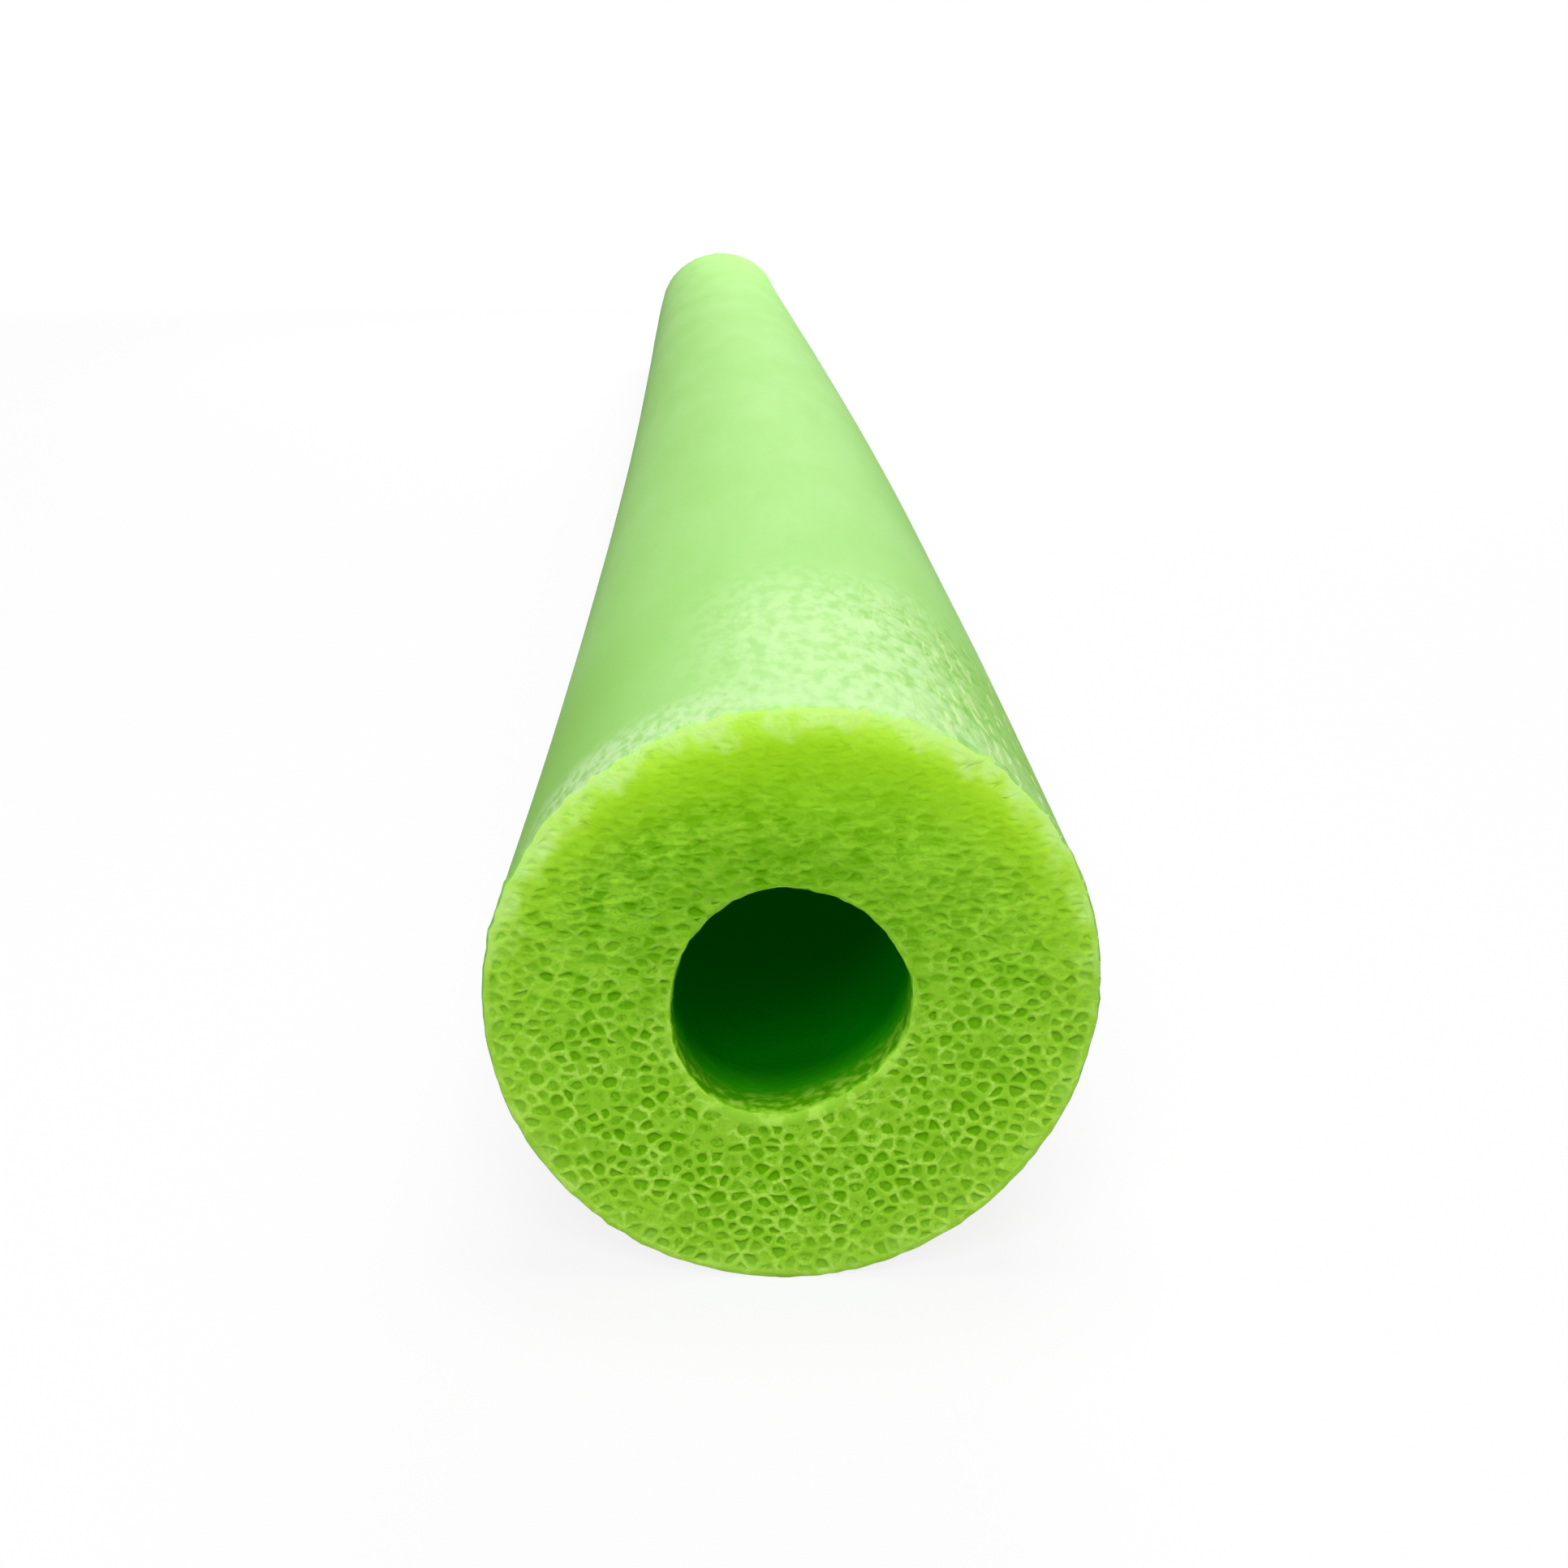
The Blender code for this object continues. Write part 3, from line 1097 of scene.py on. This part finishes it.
# painted highlight on the bore's lower lip, from light above
lip = add("Math", [blobs, 5 * MM, off_bore], **TIMES_PLUS)
lip = add("MapRange", [lip, 4.4 * MM, 2.4 * MM, 0.0, low_down], **SMOOTH)
high_up = add("MapRange", [height, 30 * MM, 55 * MM, 0.1, 0.9], **SMOOTH)
# painted glow along the upper skin, from light above that comes through the thin foam
rim = add("MapRange", [under_skin, 4 * MM, 1 * MM, 0.0, 0.7], **SMOOTH)
rim = add("Math", [rim, high_up], **TIMES)
dragged = add("Math", [blobs, 7 * MM, under_skin], **TIMES_PLUS)
pale_rim = add("MapRange", [dragged, 6.6 * MM, 3.2 * MM, 0.0, high_up], **SMOOTH)
flecks = add("MapRange", [patchy, 0.54, 0.66, 0.0, 0.7], **SMOOTH)
flecks = add("Math", [pale_rim, flecks], **TIMES)
skin_over = add("MapRange", [dragged, 4.4 * MM, 3.2 * MM, 0.0, high_up], **SMOOTH)
off_middle = add("Math", [x], operation="ABSOLUTE")
off_middle = add("MapRange", [off_middle, 4 * MM, 17 * MM, 0.07, 0.7], **SMOOTH)
skin_over = add("Math", [skin_over, off_middle], **TIMES)
for mask, tint in (
    (lip, "#B8F05C"),
    (rim, "#C2F45A"),
    (pale_rim, "#CEFA88"),
    (flecks, "#D4FA94"),
    (skin_over, "#C8F88E"),
):
    colour = add("Mix", {0: mask, 6: colour, 7: tint}, 2, **RGBA)
set_shader(Base_Color=colour)
print("cut colour is done:", len(tree.nodes), "nodes")

# %% [markdown]
# The torn films are smoother than the skin, so the roughness is lower. Each of them mirrors
# something else, and all together hardly anything. More light goes in here than through the
# skin, because nothing closes the cells. It comes back yellow green, since blue is lost first.

# %% Cut: gloss, softness and crinkles
set_shader(IOR=1.51, Roughness=0.45, Specular_IOR_Level=0.01)
set_shader(Subsurface_Weight=0.6, Subsurface_Radius=(0.6, 1.0, 0.1), Subsurface_Scale=1.5 * MM)
crinkles = add("TexNoise", {"Vector": where, "Scale": 1 / (0.5 * MM), "Detail": 2})
crinkles = {"Height": crinkles, "Distance": 0.15 * MM, "Strength": 0.6}
set_shader(Normal=add("Bump", crinkles))
print("cut roughness:", shader.inputs["Roughness"].default_value)

# %% [markdown]
# ## The bore's wall
#
# The same foam again. Here it set round the die's core pin and closed into a skin. Light only
# gets in at the mouth and through the wall of foam, which takes out everything but green. So
# the wall goes from pale and ragged at its very edge, through flecked yellow green at the
# mouth, to a very dark green within 14 mm. That darkening is painted shade.
#
# Tracing that light through 20 mm of foam would take far too many rays, so a trace of green
# emission stands in for it. It is stronger on the right, where more light falls on the
# outside, and near the mouth.

# %% Bore: colour
tree, shader = new_material("extruded foam bore", noodle_mesh)
where = add("TexCoord", output="Object")
x, y, _ = add("SeparateXYZ", [where]).node.outputs
along = add("Math", [y], operation="ABSOLUTE")
grains = add("TexNoise", {"Vector": where, "Scale": 1 / (1.5 * MM), "Detail": 3})
light_grains = add("MapRange", [grains, 0.38, 0.6], **SMOOTH)
flecks = add("MapRange", [grains, 0.55, 0.65], **SMOOTH)
# painted shade: the bore's wall darkens from the mouth inwards
inside = add("MapRange", [along, AT_CUT - 1.5 * MM, AT_CUT - 8 * MM], **SMOOTH)
deep_inside = add("MapRange", [along, AT_CUT - 5 * MM, AT_CUT - 14 * MM], **SMOOTH)
edge = add("Math", [grains, 4 * MM, along], **TIMES_PLUS)
edge = add("MapRange", [edge, AT_CUT + 0.4 * MM, AT_CUT + 2.6 * MM, 0.0, 0.85], **SMOOTH)
colour = add("Mix", {0: light_grains, 6: "#5EAC00", 7: "#94D62A"}, 2, **RGBA)
for mask, tint in (
    (flecks, "#B0E64E"),
    (inside, "#2E9A00"),
    (deep_inside, "#045E03"),
    (edge, "#A6E040"),
):
    colour = add("Mix", {0: mask, 6: colour, 7: tint}, 2, **RGBA)
set_shader(Base_Color=colour)
print("bore colour:", len(tree.nodes), "nodes")

# %% Bore: gloss, grains and the light that soaks in
set_shader(IOR=1.51, Roughness=0.6, Specular_IOR_Level=0.0)
grains = {"Height": grains, "Distance": 0.3 * MM, "Strength": 0.6}
set_shader(Normal=add("Bump", grains))
on_right = add("MapRange", [x, -4 * MM, 12 * MM], **SMOOTH)
soaking = add("MapRange", [along, AT_CUT - 60 * MM, AT_CUT - 6 * MM, 0.0, on_right], **SMOOTH)
soaking = add("MapRange", [soaking, 0.0, 1.0, 0.024, 0.045], **SMOOTH)
set_shader(Emission_Color="#00FF19", Emission_Strength=soaking)
print("materials:", noodle_mesh.materials.keys())

# %% [markdown]
# ## The studio floor
#
# A roll of matt white paper, so large that its edge is never seen. It lights the foam from
# below as pale grey paper would. The background should be whiter than that, so for rays from
# the camera, and for mirrored and refracted ones, it is white paper, and most of that is
# plain white emission. The rest, near the tube, is real paper in the lamps' light, which
# keeps a soft shadow.

# %% Paper
PAPER_SIDE = 60.0
paper_mesh = bpy.data.meshes.new("studio_floor")
halves = ((-0.5, -0.5), (0.5, -0.5), (0.5, 0.5), (-0.5, 0.5))
corners = [(PAPER_SIDE * x, PAPER_SIDE * y, 0) for x, y in halves]
paper_mesh.from_pydata(corners, [], [(0, 1, 2, 3)])
paper = put_in_scene("studio_floor", paper_mesh)
print("paper, m:", list(paper.dimensions))


# %% Paper: white to the camera
def clear_rays():
    """1 for rays from the camera, mirrored and refracted ones, and 0 for the rest."""
    path = add("LightPath").node.outputs
    seen = add("Math", [path["Is Camera Ray"], path["Is Glossy Ray"]], operation="MAXIMUM")
    return add("Math", [seen, path["Is Transmission Ray"]], operation="MAXIMUM")


tree, shader = new_material("matt white paper", paper_mesh)
clear = clear_rays()
paper_colour = add("Mix", {0: clear, 6: "#B3B3B3", 7: "#F8F8F8"}, 2, **RGBA)
set_shader(Base_Color=paper_colour, Roughness=1.0, Specular_IOR_Level=0.0)
where = add("TexCoord", output="Object")
distance = add("VectorMath", [where], "Value", operation="LENGTH")
whiteness = add("MapRange", [distance, 0.7, 1.2, 0.85, 1.0])
whiteness = add("Math", [clear, whiteness], **TIMES)
white = add("Emission", {"Color": "#FFFFFF", "Strength": 1.0})
look = add("MixShader", [whiteness, shader.outputs["BSDF"], white])
plug(look, tree.nodes["Material Output"].inputs["Surface"])
print("paper:", len(tree.nodes), "nodes")

# %% [markdown]
# ## The world
#
# Round the set the studio is white to the camera and in mirrors, like the paper. As a light
# it is only a weak fill, so that the shapes keep their shade.

# %% World
WORLD_LEVEL = 0.12
world = bpy.data.worlds.new("studio")
bpy.context.scene.world = world
world.use_nodes = True
tree = world.node_tree
strength = add("MapRange", [clear_rays(), 0.0, 1.0, WORLD_LEVEL, 1.0])
plug(strength, tree.nodes["Background"].inputs["Strength"])
plug("#FFFFFF", tree.nodes["Background"].inputs["Color"])
print("world nodes:", len(tree.nodes))

# %% [markdown]
# ## The lamps
#
# Three softboxes: square sheets of light, which give soft shadows. One hangs overhead and
# lights the skin. One stands in front and lights the cut from above left. A small one behind
# grazes the upper skin, which makes the pale sheen that runs down to the cut. Their watts
# were chosen so that a colour renders about as it is written.

# %% Softboxes
SOFTBOXES = (  # name, place, aim, side in metres, watts
    ("overhead softbox", (0.1, -0.3, 2.0), (0, -0.3, 0.04), 1.2, 18),
    ("front softbox", (-0.2, -2.4, 1.4), (0, -0.5, 0.04), 1.2, 37),
    ("back softbox", (0.25, 1.1, 0.7), (0.15, -0.5, 0.4), 0.7, 11.5),
)
for name, place, aim, side, watts in SOFTBOXES:
    lamp = bpy.data.lights.new(name, "AREA")
    lamp.shape = "SQUARE"
    lamp.size = side
    lamp.energy = watts
    softbox = put_in_scene(name, lamp)
    softbox.location = place
    softbox.rotation_mode = "QUATERNION"
    softbox.rotation_quaternion = (Vector(place) - Vector(aim)).to_track_quat("Z", "Y")
print("watts in all:", sum(row[-1] for row in SOFTBOXES))

# %% [markdown]
# ## The camera
#
# It stands a quarter of a metre before the near cut and looks along the tube, a little from
# above. Its place is worked out from that cut, because one frames by it: how far away its
# middle is, where in the picture it lies, and by which angles the tube's axis is turned from
# the line of sight.

# %% Camera
PICTURE_PIXELS = 1932
FOCAL_PIXELS = 3015
CUT_MIDDLE_PIXEL = (976.52, 1232.64)
CUT_DISTANCE = 0.26079
TUBE_PITCH = 0.25179
TUBE_YAW = -0.0330

tube_along = Vector((math.sin(TUBE_YAW), math.cos(TUBE_YAW), math.tan(TUBE_PITCH))).normalized()
tube_across = Vector((math.cos(TUBE_YAW), -math.sin(TUBE_YAW), 0))
tube_up = tube_across.cross(tube_along)
seen_to_real = Matrix((tube_across, tube_along, tube_up))
right, forward, up = seen_to_real.transposed()

off_axis = [(pixel - PICTURE_PIXELS / 2) / FOCAL_PIXELS for pixel in CUT_MIDDLE_PIXEL]
cut_seen = CUT_DISTANCE * Vector((off_axis[0], 1, -off_axis[1]))
cut_middle = Vector(lay_down([(0, 0, 0)])[0])

lens = bpy.data.cameras.new("camera")
lens.lens = FOCAL_PIXELS * lens.sensor_width / PICTURE_PIXELS
camera = put_in_scene("camera", lens)
bpy.context.scene.camera = camera
camera.location = cut_middle - seen_to_real @ cut_seen
camera.rotation_mode = "QUATERNION"
camera.rotation_quaternion = Matrix((right, up, -forward)).transposed().to_quaternion()
print("lens, mm:", round(lens.lens, 2), "camera at, m:", camera.location.to_tuple(4))

# %% [markdown]
# ## Finish
#
# The Standard view shows colours as they are written, without a film look.

# %% Finish
bpy.context.scene.view_settings.view_transform = "Standard"
